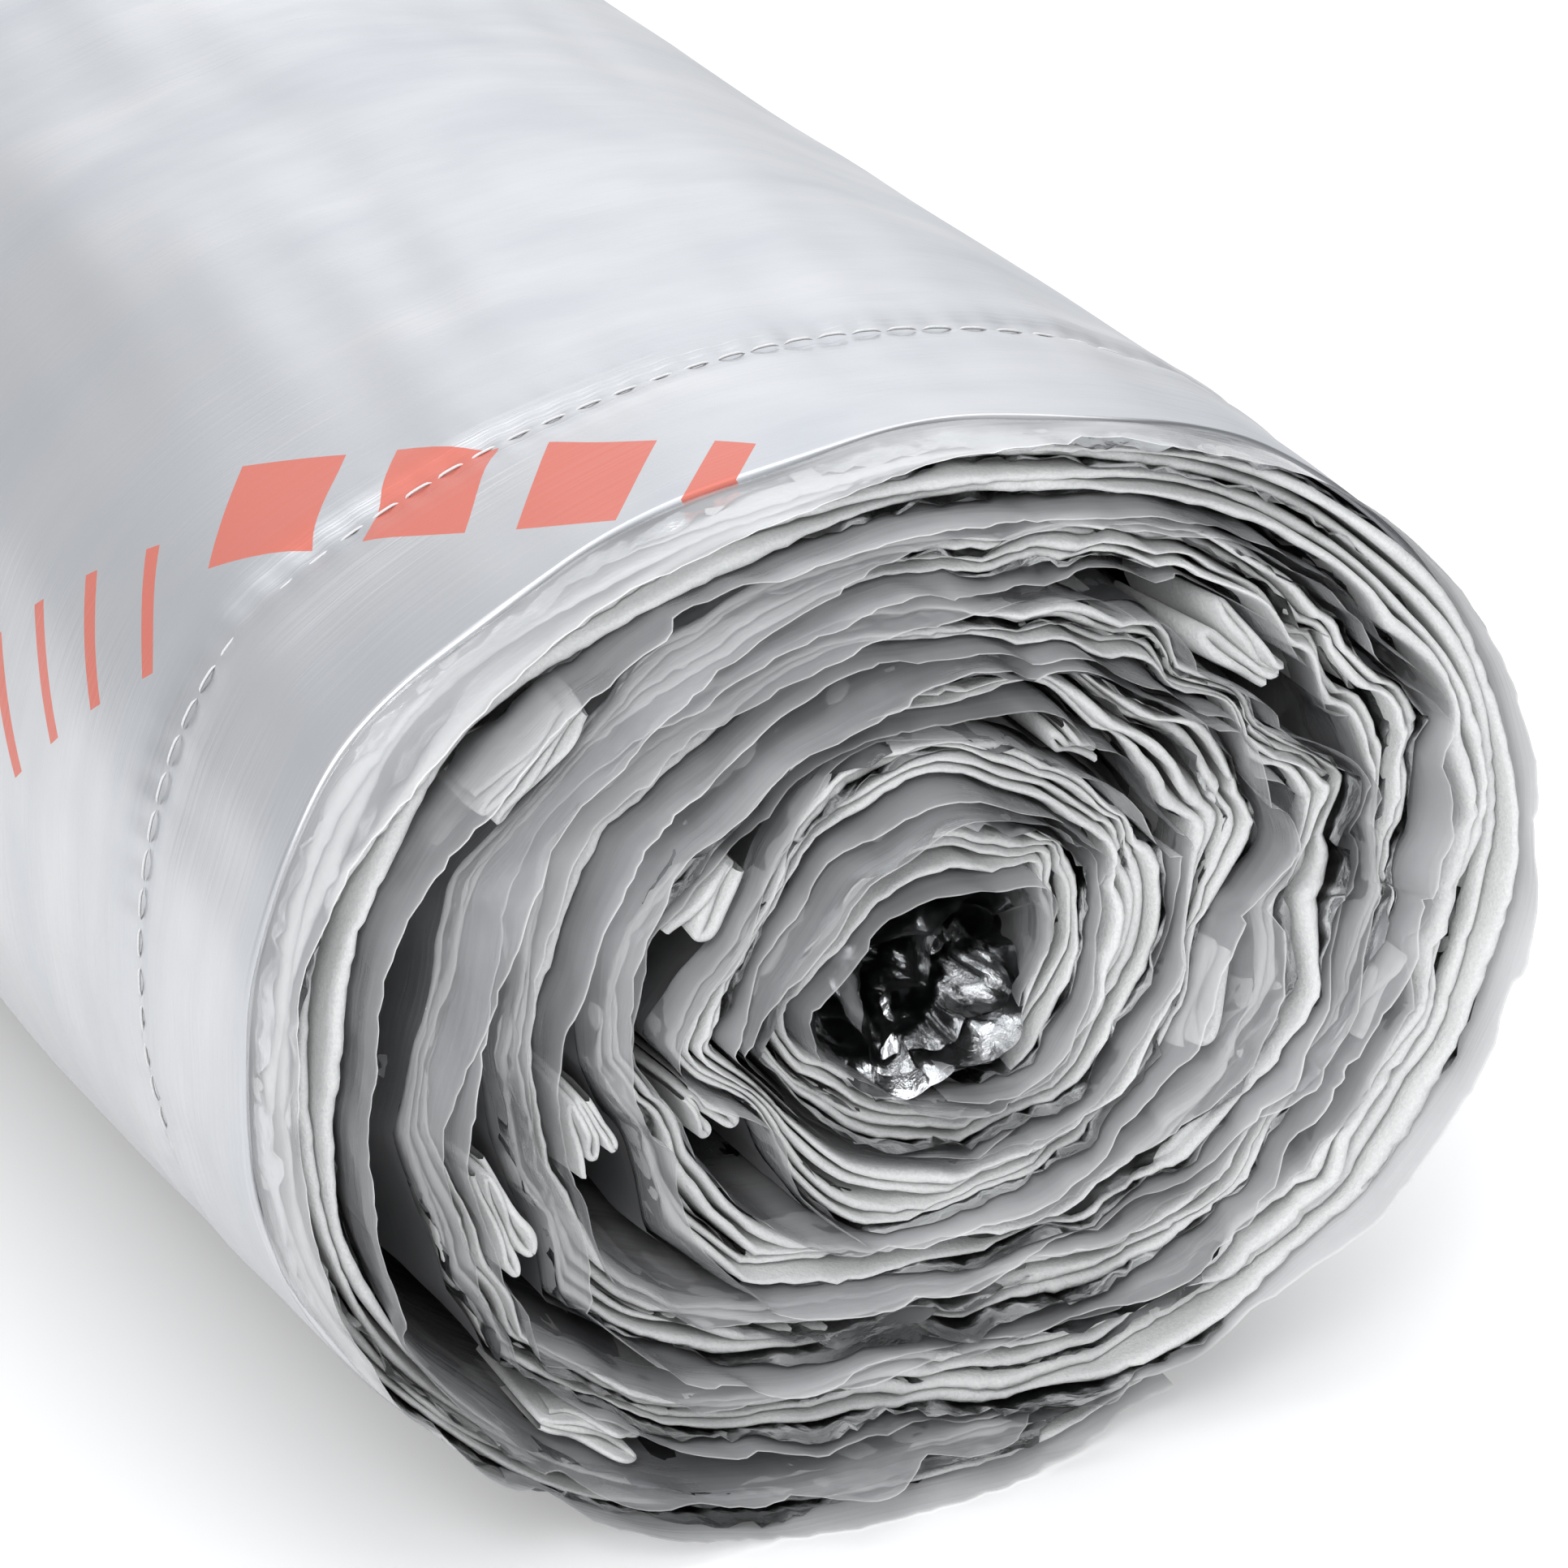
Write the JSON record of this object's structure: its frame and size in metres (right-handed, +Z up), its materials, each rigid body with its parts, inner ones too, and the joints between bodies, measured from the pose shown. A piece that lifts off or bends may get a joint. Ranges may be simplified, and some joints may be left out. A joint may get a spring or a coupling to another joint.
{
  "type": "insulation roll",
  "caption": "Roll of stitched foil and fleece insulation blanket, wound on itself without a core tube, lying on its side with its turns and plies open at both ends.",
  "frame": {"origin": "on the flattened underside, below the middle of the oval section, half way along the roll", "axes": "+X along the roll towards the end that the picture shows, +Y to the back of the roll, +Z up"},
  "size_m": [1.2, 0.3646, 0.2948],
  "materials": {
    "blanket": "satin silver facing film over white fleece and thin foils",
    "thread": "white sewing thread"
  },
  "bodies": {
    "root": {"rolled_blanket": "blanket", "seam_thread_near": "thread", "seam_thread_far": "thread"}
  },
  "joints": []
}
